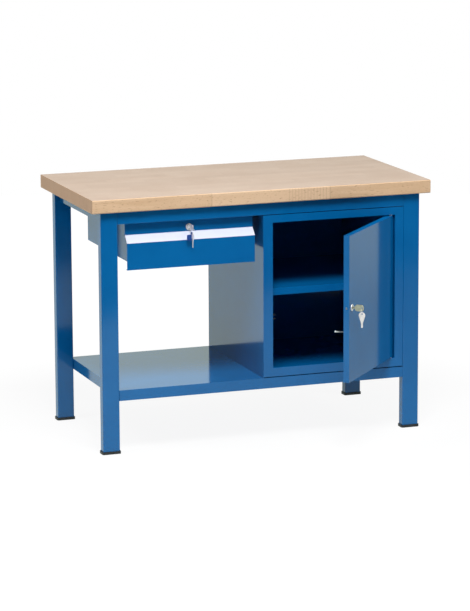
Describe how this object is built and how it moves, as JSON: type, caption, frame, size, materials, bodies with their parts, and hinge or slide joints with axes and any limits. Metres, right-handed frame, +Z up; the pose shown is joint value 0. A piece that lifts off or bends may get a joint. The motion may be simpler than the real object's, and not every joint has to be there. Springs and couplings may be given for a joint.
{
  "type": "workbench",
  "caption": "Workbench with a thick beech top on steel legs, a lockable drawer, a lower shelf and a cabinet with a hinged, lockable door.",
  "frame": {"origin": "middle of the outline on the floor, with the door standing half open", "axes": "+X along the bench to the right as seen from the front, +Z up, the front faces -Y"},
  "size_m": [1.2, 0.9104, 0.86],
  "materials": {
    "blue_paint": "gloss",
    "beech": "satin",
    "black_plastic": "matte",
    "white_strip": "gloss",
    "blue_plastic": "gloss",
    "brass": "satin",
    "steel": "satin",
    "zinc": "satin"
  },
  "bodies": {
    "bench": {"cabinet_back": "blue_paint", "cabinet_face_frame": "blue_paint", "cabinet_floor": "blue_paint", "cabinet_left_side": "blue_paint", "cabinet_right_side": "blue_paint", "cabinet_roof": "blue_paint", "cabinet_shelf": "blue_paint", "catch_clip": "zinc", "drawer_housing": "blue_paint", "foot_shoe_front_left": "black_plastic", "foot_shoe_front_right": "black_plastic", "foot_shoe_rear_left": "black_plastic", "foot_shoe_rear_right": "black_plastic", "front_apron": "blue_paint", "hinge_pin_lower": "steel", "hinge_pin_upper": "steel", "leg_front_left": "blue_paint", "leg_front_right": "blue_paint", "leg_rear_left": "blue_paint", "leg_rear_right": "blue_paint", "lower_shelf": "blue_paint", "rear_apron": "blue_paint", "runner_channel_left": "zinc", "runner_channel_right": "zinc", "shelf_peg_front_left": "zinc", "shelf_peg_front_right": "zinc", "shelf_peg_rear_left": "zinc", "shelf_peg_rear_right": "zinc", "side_rail_left": "blue_paint", "side_rail_right": "blue_paint", "worktop": "beech"},
    "drawer": {"drawer_front": "blue_paint", "label_strip": "white_strip", "drawer_box": "blue_paint", "runner_slide_left": "zinc", "runner_slide_right": "zinc", "drawer_lock_body": "zinc"},
    "drawer_plug": {"drawer_lock_plug": "brass", "drawer_lock_cam": "zinc", "drawer_key": "brass"},
    "drawer_keys": {"drawer_key_ring": "steel", "drawer_spare_key": "steel", "key_fob": "blue_plastic"},
    "door": {"door_panel": "blue_paint", "door_stiffener": "blue_paint", "catch_pin": "steel", "door_lock_body": "zinc"},
    "door_plug": {"door_lock_plug": "brass", "door_key": "brass"},
    "door_bolt": {"door_lock_bolt": "steel"},
    "door_keys": {"door_key_ring": "steel", "door_spare_key": "steel"}
  },
  "joints": [
    {"name": "drawer_slide", "type": "slide", "parent": "bench", "child": "drawer", "axis": [0, -1, 0], "range_m": [0, 0.4]},
    {"name": "drawer_lock_turn", "type": "hinge", "parent": "drawer", "child": "drawer_plug", "pos_m": [-0.254, -0.10982, 0.747], "axis": [0, -1, 0], "range_deg": [0, 90]},
    {"name": "drawer_keys_swing", "type": "hinge", "parent": "drawer_plug", "child": "drawer_keys", "pos_m": [-0.254, -0.14242, 0.7455], "axis": [1, 0, 0], "range_deg": [-40, 6]},
    {"name": "door_hinge", "type": "hinge", "parent": "bench", "child": "door", "pos_m": [0.464, -0.11982, 0.25], "axis": [0, 0, 1], "range_deg": [-48, 62]},
    {"name": "door_lock_turn", "type": "hinge", "parent": "door", "child": "door_plug", "pos_m": [0.19501, -0.41857, 0.5], "axis": [0.7431, -0.6691, 0], "range_deg": [0, 90]},
    {"name": "door_bolt_throw", "type": "slide", "parent": "door", "child": "door_bolt", "axis": [-0.6691, -0.7431, 0], "range_m": [0, 0.01]},
    {"name": "door_keys_swing", "type": "hinge", "parent": "door_plug", "child": "door_keys", "pos_m": [0.22667, -0.44707, 0.4985], "axis": [0.6691, 0.7431, 0], "range_deg": [-40, 18]}
  ],
  "couplings": [
    {"joint": "door_bolt_throw", "follows": "door_lock_turn", "m_per_rad": 0.0063662}
  ]
}
